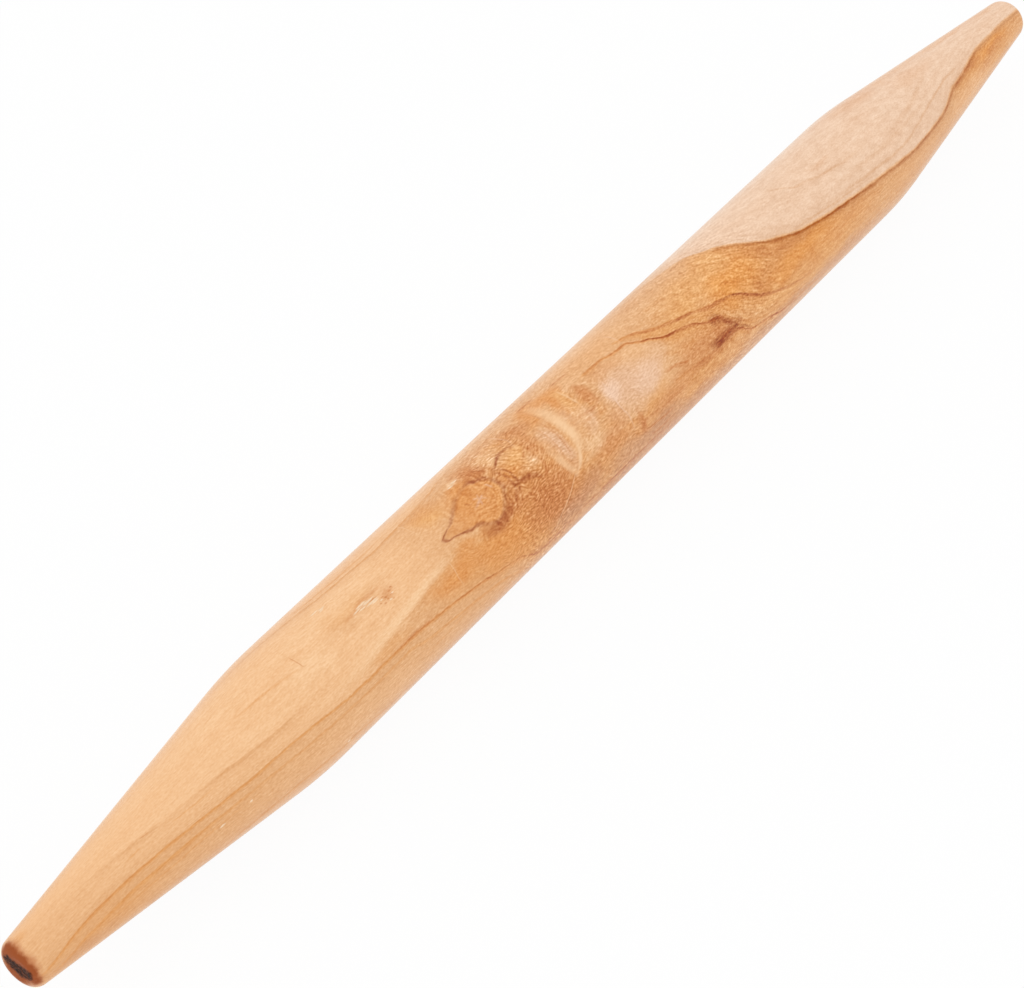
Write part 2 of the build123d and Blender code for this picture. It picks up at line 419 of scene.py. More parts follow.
# Nicks and torn grain: along, round, half length, half width and depth in mm
NICKS = (
    (-188, 74, 0.9, 0.4, 0.2), (-178, 72.5, 0.5, 0.3, 0.15), (-143, 96, 0.6, 0.3, 0.2),
    (-119.4, 12.8, 1.8, 0.22, 0.12), (-117, 11.2, 2.2, 0.26, 0.12), (-115, 13, 2.4, 0.3, 0.15),
    (-114.2, 15.8, 2.3, 0.28, 0.15), (-113.4, 17.4, 1.3, 0.2, 0.1), (-117.8, 14.6, 1.2, 0.18, 0.1),
    (-126.4, -14.6, 1.6, 0.22, 0.1), (-124.2, -12.6, 1.1, 0.24, 0.1),
    (-125, -11, 0.8, 0.16, 0.08), (-109.6, 24.4, 0.5, 0.2, 0.1), (-107.8, 21.4, 0.6, 0.18, 0.1),
    (-111.8, 20, 0.5, 0.18, 0.1), (-66.6, -12.6, 1.3, 0.3, 0.06), (-64.6, -15, 1.5, 0.3, 0.06),
)
PITS = (
    (-111.6, 24.4, 0.6, 0.22, 0.15), (-110.2, 20.6, 0.5, 0.3, 0.2), (-108, 18.8, 0.8, 0.2, 0.15),
    (-108.8, 25.6, 0.4, 0.2, 0.15), (-112.8, 22, 0.5, 0.16, 0.12), (-106.6, 17, 0.5, 0.2, 0.12),
    (-110, 22.6, 0.4, 0.2, 0.12), (-108.4, 21.6, 0.5, 0.14, 0.1), (-111, 18.6, 0.6, 0.14, 0.1),
)

# The scorched end. Each scorch has the width of its fringe in mm and its spots, as places
# across and up the flat from its centre and half widths in mm
SCORCHES = (
    ("toasted", 3.4, ((1.6, 4.2, 4.2), (-2.8, 3, 3.8), (-4.6, 0, 2.8), (0, -1, 3.8))),
    ("burnt", 2.4, ((2.2, 4.2, 3.2), (-1, 3.6, 2.8), (-3.8, 2.2, 2.4), (-5.6, -0.4, 1.4),
                    (0.2, -0.8, 3))),
    ("char", 1.2, ((2.8, 1.5, 1.3), (1.1, 0.5, 1.8), (-0.9, -0.1, 1.9), (-2.9, 0.6, 1.4))),
)

# How far a cut's slopes reach, as a share of its size
CUT_SPREAD = 1.6
# How far char shrinks back in mm, how far out it reaches as a share of the tip's radius, how
# near the flat end a point has to be to be char in mm, and the seed of its pitting
CHAR_DEPTH = 0.25
CHAR_REACH = 0.6
CHAR_SKIN = 0.1
CHAR_SEED = 7

# Soft noises, each with the lengths of its blobs in mm, its number of finer layers and its seed.
# These lie in the growth layers: along the pin, in from the bark, and across
BROAD_BANDS = ((80, 2.6, 3), 2, 3.0)
MIDDLE_BANDS = ((26, 0.9, 1), 2, 7.0)
FINE_FIBRES = ((4.2, 0.42, 0.42), 1, 11.0)
# These lie on the skin, along it and round it
SWIRLED_FIBRES = ((1.7, 0.4, 1), 0, 8.0)
SWIRLED_BANDS = ((8, 1.8, 1), 1, 15.0)
# These fill the wood
CLOUDS = ((22, 9, 9), 2, 5.0)
GRIT = ((0.9, 0.4, 0.4), 0, 2.0)
UNEVENNESS = ((4, 1.4, 1.4), 2, 6.0)
SCORCH_EDGE = ((1.2, 1, 1), 3, 9.0)
CHAR_PATCHES = ((1.4, 0.6, 0.6), 2, 13.0)
TURNING_MARKS = ((0.9, 60, 60), 1, 4.0)

# How far the growth sheets waver, as a share of the way from bark to heart, each with the
# lengths of its blobs in mm
SHEET_WAVERS = (((16, 4, 4), 0.016), ((2.4, 1, 1), 0.01))
# Shifts of places on the skin, each with the size of its blobs and its reach in mm. The first
# two make the edges of streaks ragged, the next loosens patches, and the last bends curly fibres
RAGGED_SHIFTS = ((6, (0.9, 0.9, 0)), (1.2, (0.35, 0.35, 0)))
LOOSE_SHIFT = (9, (6, 6, 0))
CURL_SHIFT = (11, (0, 7, 0))

# The tone of the wood under the bark, and how thick the wood past the last sheet is, in mm
BARK_TONE = 0.2
HEART_THICK = 8
# The colours of heartwood from pale to dark, each with the tone it shows at
HEARTWOOD_TONES = ((0.0, "cream"), (0.15, "pale"), (0.36, "tan"), (0.56, "gold"), (0.78, "brown"),
                   (1.0, "gum"))
# Where the knot's colour and the sapwood begin and are full, along the pin in mm
KNOT_START = (-86.0, -72.0)
SAPWOOD_START = (36.0, 60.0)
# Half widths of the knot's rim and shells in mm, and its rings in radians from middle to rim
RIM_WIDTH = 1.3
SHELL_WIDTH = 0.9
KNOT_RINGS = 30.0
# How much of a pale streak's width is full colour
PALE_FIRMNESS = 0.1
# How much a fibre deepens the colour and how much it darkens it, and its relief in mm
FIBRE_DEPTH = 0.14
FIBRE_SHADE = -0.08
FIBRE_RELIEF = 0.06
# How much faster a scorch fades along the pin than across its end, how far its edge strays in
# mm, and its strength
SCORCH_FADE = 1.2
SCORCH_STRAY = 2.2
SCORCH_STRENGTH = 0.95
# The share of the surface that the dried oil covers
OIL_FILM = 0.5


def add(tree, kind, *values, sockets=(), **settings):
    """Adds a shader node, sets it, and fills or links its inputs, in order or by name."""
    node = tree.nodes.new("ShaderNode" + kind)
    for name, value in settings.items():
        setattr(node, name, value)
    inputs = [socket for socket in node.inputs if socket.enabled]
    filled = list(zip(inputs, values))
    filled += [(node.inputs[name], value) for name, value in dict(sockets).items()]
    for socket, value in filled:
        if isinstance(value, bpy.types.NodeSocket):
            tree.links.new(value, socket)
        elif value is not None:
            socket.default_value = value
    return next((socket for socket in node.outputs if socket.enabled), None)


def follow(tree, place, table):
    """A value that follows a table of (place, value), both scaled to run from 0 to 1."""
    value = add(tree, "FloatCurve", 1.0, place)
    mapping = value.node.mapping
    mapping.extend = "HORIZONTAL"
    points = mapping.curves[0].points
    while len(points) < len(table):
        points.new(0.5, 0.5)
    for point, location in zip(points, table):
        point.location = location
        point.handle_type = "AUTO_CLAMPED"
    mapping.update()
    return value


class Grain:
    """Where a point of the wood is: along the pin, round it, and in from the bark side."""

    def __init__(self, tree, shape):
        self.tree = tree
        self.length = shape.overall_length / MM
        self.barrel = shape.barrel_diameter / MM / 2
        self.tip = shape.tip_diameter / MM / 2
        self.mm_per_degree = radians(self.barrel)

        self.place = add(tree, "VectorMath", add(tree, "TexCoord").node.outputs["Object"],
                         (1 / MM,) * 3, operation="MULTIPLY")
        self.along = add(tree, "SeparateXYZ", self.place)
        across, up = self.along.node.outputs[1:]
        self.crosswise = add(tree, "VectorMath", self.place, (0, 1, 1), operation="MULTIPLY")
        out = add(tree, "VectorMath", self.crosswise, operation="LENGTH").node.outputs["Value"]
        # Inside the tip's edge the sheets are cut square, so they cross the end grain as lines
        radius = add(tree, "Math", out, self.tip, operation="MAXIMUM")
        self.girth = add(tree, "Math", radius, pi, operation="MULTIPLY")

        bark = radians(BARK_ROUND)
        depth = self.dot((0, -sin(bark), cos(bark)))
        turn = add(tree, "Math", add(tree, "Math", depth, radius, operation="DIVIDE"),
                   operation="ARCCOSINE")
        turn = add(tree, "Math", turn, 1 / pi, operation="MULTIPLY")
        for size, reach in SHEET_WAVERS:
            waver = self.noise(self.place, size, 2)
            turn = add(tree, "Math", waver, reach, turn, operation="MULTIPLY_ADD")
        self.turn = turn
        self.side = self.dot((0, -cos(bark), -sin(bark)))

        self.round = add(tree, "Math", add(tree, "Math", across, up, operation="ARCTAN2"),
                         -self.barrel, operation="MULTIPLY")
        self.skin = add(tree, "CombineXYZ", self.along, self.round)
        self.ragged = self.skin
        for shift in RAGGED_SHIFTS:
            self.ragged = self.warped(self.ragged, *shift)
        self.loose = self.warped(self.ragged, *LOOSE_SHIFT)
        # Curly fibres bend to and fro, and part round the knot as a stream parts round a stone
        self.curl = self.along_pin(CURL)
        offset = add(tree, "VectorMath", self.skin, self.spot(*KNOT), operation="SUBTRACT")
        away = add(tree, "VectorMath", offset, (0.7, 1, 0), operation="MULTIPLY")
        away = add(tree, "VectorMath", away, operation="LENGTH").node.outputs["Value"]
        pinch = add(tree, "Math", KNOT_REACH, away, operation="DIVIDE")
        pinch = add(tree, "Math", pinch, 2.0, operation="POWER")
        pinch = add(tree, "MapRange", pinch, 0.0, 0.7, 0.0, 0.7)
        push = add(tree, "VectorMath", offset, sockets={"Scale": pinch}, operation="SCALE")
        push = add(tree, "VectorMath", push, (0, 1, 0), operation="MULTIPLY")
        flow = add(tree, "VectorMath", self.skin, push, operation="SUBTRACT")
        self.flow = self.warped(flow, *CURL_SHIFT, self.curl)

    def dot(self, direction):
        """How far a place is along a direction, in mm."""
        dot = add(self.tree, "VectorMath", self.place, direction, operation="DOT_PRODUCT")
        return dot.node.outputs["Value"]

    def noise(self, place, size, detail, seed=0.0):
        """Soft noise about zero, in blobs of a size in mm."""
        tree = self.tree
        scaled = add(tree, "VectorMath", place, [1 / s for s in size], (seed,) * 3,
                     operation="MULTIPLY_ADD")
        raw = add(tree, "TexNoise", scaled, 1.0, detail)
        return add(tree, "Math", raw, 0.5, operation="SUBTRACT")

    def warped(self, place, size, reach, share=1.0):
        """A place, shifted here and there by up to about half a reach in mm each way."""
        tree = self.tree
        scaled = add(tree, "VectorMath", self.place, (1 / size,) * 3, operation="MULTIPLY")
        shift = add(tree, "TexNoise", scaled, 1.0, 1.0).node.outputs["Color"]
        shift = add(tree, "VectorMath", shift, reach, [-r / 2 for r in reach],
                    operation="MULTIPLY_ADD")
        shift = add(tree, "VectorMath", shift, sockets={"Scale": share}, operation="SCALE")
        return add(tree, "VectorMath", place, shift, operation="ADD")

    def along_pin(self, table):
        """A value that changes along the pin, from a table of (mm, value)."""
        half = self.length / 2
        share = add(self.tree, "MapRange", self.along, -half, half)
        return follow(self.tree, share, [(0.5 + x / self.length, value) for x, value in table])

    def sheet(self, route):
        """Where a sheet comes out along the pin, as a share of the way from bark to heart."""
        return self.along_pin([(x, (turn - BARK_ROUND) / 180) for x, turn in route])

    def spot(self, along, turn):
        """A place on the skin in mm, from a place along and degrees round."""
        return Vector((along, turn * self.mm_per_degree, 0))

    def patch(self, skin, along, turn, long, wide):
        """How far a place is from a spot, as a share of the spot's half length and width."""
        tree = self.tree
        spot = self.spot(along, turn)
        offset = add(tree, "VectorMath", skin, spot, operation="SUBTRACT")
        share = add(tree, "VectorMath", offset, (1 / long, 1 / wide, 0), operation="MULTIPLY")
        return add(tree, "VectorMath", share, operation="LENGTH").node.outputs["Value"]

    def streak(self, route, half_width, firm=0.0):
        """How strongly a streak shows: full within its firm share, and none past its edges."""
        tree = self.tree
        spots = [self.spot(x, turn) for x, turn, strength in route]
        reach = [max(spot[i] for spot in spots) - min(spot[i] for spot in spots) for i in (0, 1)]
        lead = 0 if reach[0] > reach[1] else 1
        rows = sorted((s[lead], s[1 - lead], row[2]) for s, row in zip(spots, route))
        first, last = rows[0][0], rows[-1][0]
        low = min(row[1] for row in rows)
        span = max(reach[1 - lead], 0.01)

        parts = add(tree, "SeparateXYZ", self.ragged).node.outputs
        share = add(tree, "MapRange", parts[lead], first, last)
        shares = [(row[0] - first) / (last - first) for row in rows]
        course = follow(tree, share, [(s, (row[1] - low) / span) for s, row in zip(shares, rows)])
        course = add(tree, "Math", course, span, low, operation="MULTIPLY_ADD")
        offset = add(tree, "Math", parts[1 - lead], course, operation="SUBTRACT")
        ends = add(tree, "MapRange", share, 0.0, 1.0, first, last)
        past = add(tree, "Math", parts[lead], ends, operation="SUBTRACT")
        gap = add(tree, "VectorMath", add(tree, "CombineXYZ", offset, past), operation="LENGTH")
        cover = add(tree, "MapRange", gap.node.outputs["Value"], half_width, firm * half_width,
                    interpolation_type="SMOOTHSTEP")
        strength = follow(tree, share, [(s, row[2]) for s, row in zip(shares, rows)])
        return add(tree, "Math", cover, strength, operation="MULTIPLY")

    def ring(self, route, half_width):
        """A line round the knot, and each place's distance out as a share of the line's."""
        tree = self.tree
        middle = self.spot(*KNOT)
        polar = []
        for along, turn, strength in route:
            arm = self.spot(along, turn) - middle
            polar.append((0.5 + atan2(arm.y, arm.x) / (2 * pi), arm.length, strength))
        polar.sort()
        longest = max(radius for share, radius, strength in polar)
        before = (polar[-1][0] - 1, *polar[-1][1:])
        gap = polar[0][0] - before[0]
        wrap = [before[i] - (polar[0][i] - before[i]) * before[0] / gap for i in (1, 2)]
        rows = [(0, *wrap), *polar, (1, *wrap)]

        offset = add(tree, "VectorMath", self.ragged, middle, operation="SUBTRACT")
        distance = add(tree, "VectorMath", offset, operation="LENGTH").node.outputs["Value"]
        x, y = add(tree, "SeparateXYZ", offset).node.outputs[:2]
        angle = add(tree, "Math", y, x, operation="ARCTAN2")
        share = add(tree, "Math", angle, 1 / (2 * pi), 0.5, operation="MULTIPLY_ADD")
        radius = follow(tree, share, [(s, r / longest) for s, r, strength in rows])
        radius = add(tree, "Math", radius, longest, operation="MULTIPLY")
        strength = follow(tree, share, [(s, strength) for s, r, strength in rows])
        gap = add(tree, "Math", add(tree, "Math", distance, radius, operation="SUBTRACT"),
                  operation="ABSOLUTE")
        cover = add(tree, "MapRange", gap, half_width, 0.0, interpolation_type="SMOOTHSTEP")
        line = add(tree, "Math", cover, strength, operation="MULTIPLY")
        return line, add(tree, "Math", distance, radius, operation="DIVIDE")


def growth_tone(grain, uneven):
    """The wood's tone, gum lines and layers, and how far it is from the sapwood's edge."""
    tree = grain.tree
    tone = BARK_TONE
    lines = 0.0
    depth = 0.0
    last = 0.0
    for sheet in SHEETS + (None,):
        course = grain.sheet(sheet["route"]) if sheet else 1.0
        share = add(tree, "MapRange", grain.turn, last, course)
        thick = sheet["thick"] if sheet else HEART_THICK
        depth = add(tree, "Math", share, thick, depth, operation="MULTIPLY_ADD")
        last = course
        if sheet is None:
            break
        offset = add(tree, "Math", grain.turn, course, operation="SUBTRACT")
        offset = add(tree, "Math", offset, grain.girth, operation="MULTIPLY")
        past = add(tree, "MapRange", offset, -1.0, 1.0, interpolation_type="SMOOTHSTEP")
        tone = add(tree, "Mix", past, tone, grain.along_pin(sheet["tone"]))
        # A gum line starts sharp on its bark side and fades away on its heart side
        width = sheet["line"]
        start = add(tree, "MapRange", offset, -width, 0.2 * width,
                    interpolation_type="SMOOTHSTEP")
        core = add(tree, "MapRange", offset, 2.6 * width, 0.0, 0.0, 0.75,
                   interpolation_type="SMOOTHSTEP")
        tail = add(tree, "MapRange", offset, 8 * width, 0.0, 0.0, 0.25,
                   interpolation_type="SMOOTHSTEP")
        line = add(tree, "Math", add(tree, "Math", core, tail), start, operation="MULTIPLY")
        dark = grain.along_pin(sheet["dark"])
        if sheet["name"] == "sapwood edge":
            past_edge = offset
            edge = add(tree, "Math", line, dark, operation="MULTIPLY")
        else:
            lines = add(tree, "Math", line, dark, lines, operation="MULTIPLY_ADD")
    lines = add(tree, "Math", lines, uneven, operation="MULTIPLY")
    return tone, lines, depth, past_edge, edge


class Paint:
    """Lays the wood's colours over each other."""

    def __init__(self, grain, wood):
        self.grain = grain
        self.tree = grain.tree
        self.wood = wood
        uneven = grain.noise(grain.place, *UNEVENNESS)
        self.uneven = add(self.tree, "Math", uneven, 0.9, 1.0, operation="MULTIPLY_ADD")

    def mix(self, share, below, colour):
        """One colour laid over another."""
        if isinstance(colour, str):
            colour = (*getattr(self.wood, colour), 1.0)
        return add(self.tree, "Mix", share, below, colour, data_type="RGBA")

    def mix_uneven(self, share, below, colour):
        """One colour laid over another, stronger here and weaker there."""
        share = add(self.tree, "Math", share, self.uneven, operation="MULTIPLY")
        return self.mix(share, below, colour)

    def streaks(self, table, below, firm=0.0):
        """Streaks laid over a colour, those of one colour together."""
        for name in dict.fromkeys(row[2] for row in table):
            cover = 0.0
            for route, half_width, colour in table:
                if colour == name:
                    streak = self.grain.streak(route, half_width, firm)
                    cover = add(self.tree, "Math", streak, cover, operation="MAXIMUM")
            below = self.mix_uneven(cover, below, name)
        return below

    def patches(self, table, below):
        """Soft areas laid over a colour."""
        for along, turn, long, wide, name, strength in table:
            share = self.grain.patch(self.grain.loose, along, turn, long, wide)
            share = add(self.tree, "MapRange", share, 1.2, 0.2, 0.0, strength,
                        interpolation_type="SMOOTHSTEP")
            below = self.mix(share, below, name)
        return below

    def cuts(self, table, below, name, full, strength):
        """Nicks or pits laid over a colour, at full strength within a share of their size."""
        for along, turn, long, wide, _ in table:
            share = self.grain.patch(self.grain.ragged, along, turn, long, wide)
            share = add(self.tree, "MapRange", share, 1.3, full, 0.0, strength)
            below = self.mix(share, below, name)
        return below


def heartwood(paint, tone, lines, edge):
    """Heartwood in the colour of its tone, with patches, and dark along the sapwood's edge."""
    tree = paint.tree
    colour = add(tree, "ValToRGB", tone)
    elements = colour.node.color_ramp.elements
    while len(elements) < len(HEARTWOOD_TONES):
        elements.new(0.5)
    for element, (place, name) in zip(elements, HEARTWOOD_TONES):
        element.position = place
        element.color = (*getattr(paint.wood, name), 1.0)

    # Patches show on the camera's side, where a branch passed close under the skin. The rosy bands
    # along the lower side are partly the wood's tint and partly painted shade and painted
    # reflection. Gum lines
    #     run through them
    clear = add(tree, "MapRange", lines, 0.4, 0.05)
    colour = paint.mix(clear, colour, paint.patches(PATCHES, colour))
    return paint.mix_uneven(edge, colour, "umber")


def lay_knot(paint, colour, clouds):
    """The knot, with its own growth rings and a pale star of rays at its heart."""
    tree = paint.tree
    grain = paint.grain
    rim, share_out = grain.ring(KNOT_RIM, RIM_WIDTH)
    inside = add(tree, "MapRange", share_out, 1.0, 0.85, 0.0, 0.75,
                 interpolation_type="SMOOTHSTEP")
    start = add(tree, "MapRange", grain.along, *KNOT_START, 0.3, 1.0)
    inside = add(tree, "Math", inside, start, operation="MULTIPLY")
    colour = paint.mix(inside, colour, "amber")
    rings = add(tree, "Math", share_out, KNOT_RINGS, operation="MULTIPLY")
    rings = add(tree, "Math", clouds, 20.0, rings, operation="MULTIPLY_ADD")
    rings = add(tree, "Math", rings, operation="SINE")
    rings = add(tree, "MapRange", rings, 0.0, 1.0, 0.0, 0.2)
    rings = add(tree, "Math", rings, inside, operation="MULTIPLY")
    colour = paint.mix(rings, colour, "brown")
    for route in KNOT_SHELLS:
        shell, _ = grain.ring(route, SHELL_WIDTH)
        rim = add(tree, "Math", shell, rim, operation="MAXIMUM")
    colour = paint.mix_uneven(rim, colour, "gum")
    return paint.streaks(STREAKS + KNOT_RAYS, colour)


def lay_sapwood(paint, colour, past_edge, mottle):
    """Sapwood laid over heartwood, and its share of each place.

    It lies on the bark side of its edge, and only past the middle of the pin.
    """
    tree = paint.tree
    grain = paint.grain
    sap_share = add(tree, "MapRange", past_edge, -0.3, -1.2, interpolation_type="SMOOTHSTEP")
    start = add(tree, "MapRange", grain.along, *SAPWOOD_START)
    sap_share = add(tree, "Math", sap_share, start, operation="MULTIPLY")
    tone = add(tree, "Math", mottle, 0.4, 0.25, operation="MULTIPLY_ADD")
    # The sapwood's patches include painted shade towards the far taper's upper edge
    sap = paint.patches(SAPWOOD_PATCHES_AND_SHADE, paint.mix(tone, (*paint.wood.sapwood, 1), "blush"))
    sap = paint.streaks(SAPWOOD_LINES, sap)
    bleed = add(tree, "MapRange", past_edge, -6.0, -0.3)
    bleed = add(tree, "Math", bleed, grain.along_pin(BLEED), operation="MULTIPLY")
    sap = paint.mix(bleed, sap, "fawn")
    return paint.mix(sap_share, colour, sap), sap_share


def show_fibres(paint, colour, figure, strong):
    """Fine fibres, which hold more or less colour. That shows most in the blue."""
    tree = paint.tree
    strong = add(tree, "Math", paint.grain.along_pin(FIBRES), strong, operation="MULTIPLY")
    figure = add(tree, "Math", figure, strong, operation="MULTIPLY")
    density = add(tree, "Math", figure, FIBRE_DEPTH, 1.0, operation="MULTIPLY_ADD")
    shade = add(tree, "Math", figure, FIBRE_SHADE, 1.0, operation="MULTIPLY_ADD")
    colour = add(tree, "Gamma", colour, density)
    return add(tree, "VectorMath", colour, sockets={"Scale": shade}, operation="SCALE")


def scorch(paint, colour):
    """The scorched end laid over a colour, and what share of the oil's film is left.

    Char is patchy. Burnt wood has lost its oil, so it is dull.
    """
    tree = paint.tree
    grain = paint.grain
    end = add(tree, "Math", grain.along, grain.length / 2)
    ragged_edge = grain.noise(grain.place, *SCORCH_EDGE)
    patchy = grain.noise(grain.place, *CHAR_PATCHES)
    film = OIL_FILM
    for name, fringe, spots in SCORCHES:
        gap = grain.length
        for across, up, half_width in spots:
            offset = add(tree, "VectorMath", grain.crosswise, (0, across, up), operation="SUBTRACT")
            away = add(tree, "VectorMath", offset, operation="LENGTH").node.outputs["Value"]
            away = add(tree, "Math", away, half_width, operation="SUBTRACT")
            gap = add(tree, "Math", away, gap, operation="MINIMUM")
        gap = add(tree, "Math", end, SCORCH_FADE, gap, operation="MULTIPLY_ADD")
        gap = add(tree, "Math", ragged_edge, SCORCH_STRAY, gap, operation="MULTIPLY_ADD")
        share = add(tree, "MapRange", gap, fringe, 0.0, 0.0, SCORCH_STRENGTH,
                    interpolation_type="SMOOTHSTEP")
        if name == "char":
            bare = add(tree, "MapRange", patchy, -0.12, 0.04, 0.7, 1.0)
            share = add(tree, "Math", share, bare, operation="MULTIPLY")
        colour = paint.mix(share, colour, name)
        if name != "toasted":
            film = add(tree, "Mix", share, film, 0.0)
    return colour, film


def oiled_hardwood(shape, wood):
    """Figured hardwood, turned, sanded fine and rubbed with oil.

    Oil deepens the heartwood to gold, and dries to a thin satin film: it shows as a pale
    sheen only where the wood turns edge on. The fibres run along the growth sheets, and
    swirl round the knot. Pores are too fine to show, so fibres are drawn about 0.4 mm wide.
    """
    material = bpy.data.materials.new("oiled_hardwood")
    material.use_nodes = True
    tree = material.node_tree
    tree.nodes.clear()
    grain = Grain(tree, shape)
    paint = Paint(grain, wood)

    tone, lines, depth, past_edge, edge = growth_tone(grain, paint.uneven)
    side = add(tree, "Math", grain.side, 0.2, operation="MULTIPLY")
    layers = add(tree, "CombineXYZ", grain.along, depth, side)
    broad = grain.noise(layers, *BROAD_BANDS)
    middle = grain.noise(layers, *MIDDLE_BANDS)
    fine = grain.noise(layers, *FINE_FIBRES)
    swirled = grain.noise(grain.flow, *SWIRLED_FIBRES)
    knotty = grain.noise(grain.flow, *SWIRLED_BANDS)
    clouds = grain.noise(grain.place, *CLOUDS)
    grit = grain.noise(grain.place, *GRIT)

    stripes = add(tree, "Math", knotty, grain.curl, operation="MULTIPLY")
    stripes = add(tree, "Math", stripes, 0.25, operation="MULTIPLY")
    for layer, strength in ((broad, 0.24), (middle, 0.12), (clouds, 0.18)):
        stripes = add(tree, "Math", layer, strength, stripes, operation="MULTIPLY_ADD")
    tone = add(tree, "Math", stripes, grain.along_pin(STRIPES), tone, operation="MULTIPLY_ADD")
    colour = heartwood(paint, add(tree, "Math", tone, lines), lines, edge)
    colour = lay_knot(paint, colour, clouds)
    mottle = add(tree, "Math", add(tree, "Math", broad, clouds), middle)
    colour, sap_share = lay_sapwood(paint, colour, past_edge, mottle)
    colour = paint.cuts(NICKS, colour, "torn", 0.6, 0.75)
    colour = paint.cuts(PITS, colour, "brown", 0.5, 0.7)

    # Fibres show most in dark heartwood, and are quiet in sapwood
    figure = add(tree, "Mix", grain.curl, fine, swirled)
    figure = add(tree, "Math", figure, 8.0, operation="MULTIPLY")
    for layer, strength in ((grit, 6.5), (middle, 1.0)):
        figure = add(tree, "Math", layer, strength, figure, operation="MULTIPLY_ADD")
    strong = add(tree, "MapRange", tone, 0.1, 0.5, 0.6, 1.0)
    strong = add(tree, "Mix", sap_share, strong, 0.7)
    colour = show_fibres(paint, colour, figure, strong)
    colour = paint.streaks(PALE_STREAKS, colour, PALE_FIRMNESS)
    colour, film = scorch(paint, colour)

    turning = grain.noise(grain.place, *TURNING_MARKS)
    height = add(tree, "Math", fine, 0.8, operation="MULTIPLY")
    height = add(tree, "Math", grit, 0.5, height, operation="MULTIPLY_ADD")
    height = add(tree, "Math", turning, 0.25, height, operation="MULTIPLY_ADD")
    bump = add(tree, "Bump", sockets={
        "Height": height, "Strength": 1.0, "Distance": FIBRE_RELIEF * MM})
    rough = add(tree, "Math", fine, 0.2, 0.45, operation="MULTIPLY_ADD")
    surface = add(tree, "BsdfPrincipled", sockets={
        "Base Color": colour, "Roughness": rough, "IOR": 1.5, "Specular IOR Level": 0.05,
        "Coat Weight": film, "Coat Roughness": 0.15, "Coat IOR": 1.45, "Normal": bump})
    add(tree, "OutputMaterial", surface)
    return material


def half_outline(shape):
    """The turned outline from the plain tip's centre to the middle, as (along, radius)."""
    half = shape.overall_length / 2
    tip = shape.tip_diameter / 2
    barrel = shape.barrel_diameter / 2
    slope = atan((barrel - tip) / shape.taper_length)
    flat = tip - shape.tip_edge_radius * tan((pi / 2 - slope) / 2)
    points = [(half, flat * ring / shape.face_rings) for ring in range(1, shape.face_rings)]

    # The rounded tip edge, from the flat face to the taper
    for step in range(shape.edge_rings + 1):
        turn = (pi / 2 - slope) * step / shape.edge_rings
        points.append((half - shape.tip_edge_radius * (1 - cos(turn)),
                       flat + shape.tip_edge_radius * sin(turn)))

    # The taper, the shoulder and the barrel, at even steps along
    shoulder = half - shape.taper_length
    reach = shape.shoulder_radius * tan(slope / 2)
    start = points[-1][0]
    count = round(start / shape.step)
    for step in range(1, count + 1):
        along = start * (1 - step / count)
        radius = min(barrel, tip + (half - along) * tan(slope))
        if abs(along - shoulder) < reach:
            # The curve's centre lies under the end of the straight barrel
            past_barrel = max(0.0, along - (shoulder - reach))
            curve = shape.shoulder_radius
            radius = barrel - curve + (curve ** 2 - past_barrel ** 2) ** 0.5
        points.append((along, radius))
    return points


def cut_depth(shape, cuts, along, turn):
    """How deep nicks and pits go below the turned skin at a place."""
    depth = 0.0
    for x, centre, long, wide, deep in cuts:
        apart_along = (along / MM - x) / long
        apart_round = (turn - radians(centre)) * shape.barrel_diameter / MM / 2 / wide
        share = hypot(apart_along, apart_round) / CUT_SPREAD
        depth = max(depth, deep * MM * (1 - share ** 2))
    return depth


def turned_mesh(shape):
    """The whole pin as one closed skin."""
    half = half_outline(shape)
    outline = half + [(-along, radius) for along, radius in reversed(half[:-1])]
    around = shape.segments
    end = shape.overall_length / 2
    char_radius = shape.tip_diameter / 2 * CHAR_REACH
    verts = [(end, 0.0, 0.0)]
    for along, radius in outline:
        cuts = [cut for cut in NICKS + PITS if abs(along / MM - cut[0]) < cut[2] * CUT_SPREAD]
        for k in range(around):
            turn = 2 * pi * k / around
            if turn > pi:
                turn -= 2 * pi
            r = radius - cut_depth(shape, cuts, along, turn)
            x = along
            if along < -end + CHAR_SKIN * MM and r < char_radius:
                # Char on the scorched end has shrunk back from the flat face
                place = Vector((CHAR_SEED, r * sin(turn), r * cos(turn))) / MM
                pitting = 0.5 + 0.5 * noise.noise(place)
                x += CHAR_DEPTH * MM * pitting * (1 - (r / char_radius) ** 4)
            verts.append((x, -r * sin(turn), r * cos(turn)))
    verts.append((-end + CHAR_DEPTH / 2 * MM, 0.0, 0.0))

    faces = []
    last_ring = 1 + (len(outline) - 1) * around
    for k in range(around):
        after = (k + 1) % around
        faces.append((0, 1 + after, 1 + k))
        faces.append((len(verts) - 1, last_ring + k, last_ring + after))
        for ring in range(len(outline) - 1):
            start = 1 + ring * around
            faces.append((start + k, start + after, start + around + after, start + around + k))
    mesh = bpy.data.meshes.new("rolling_pin_skin")
    mesh.from_pydata(verts, [], faces)
    mesh.validate()
    mesh.shade_smooth()
    return mesh


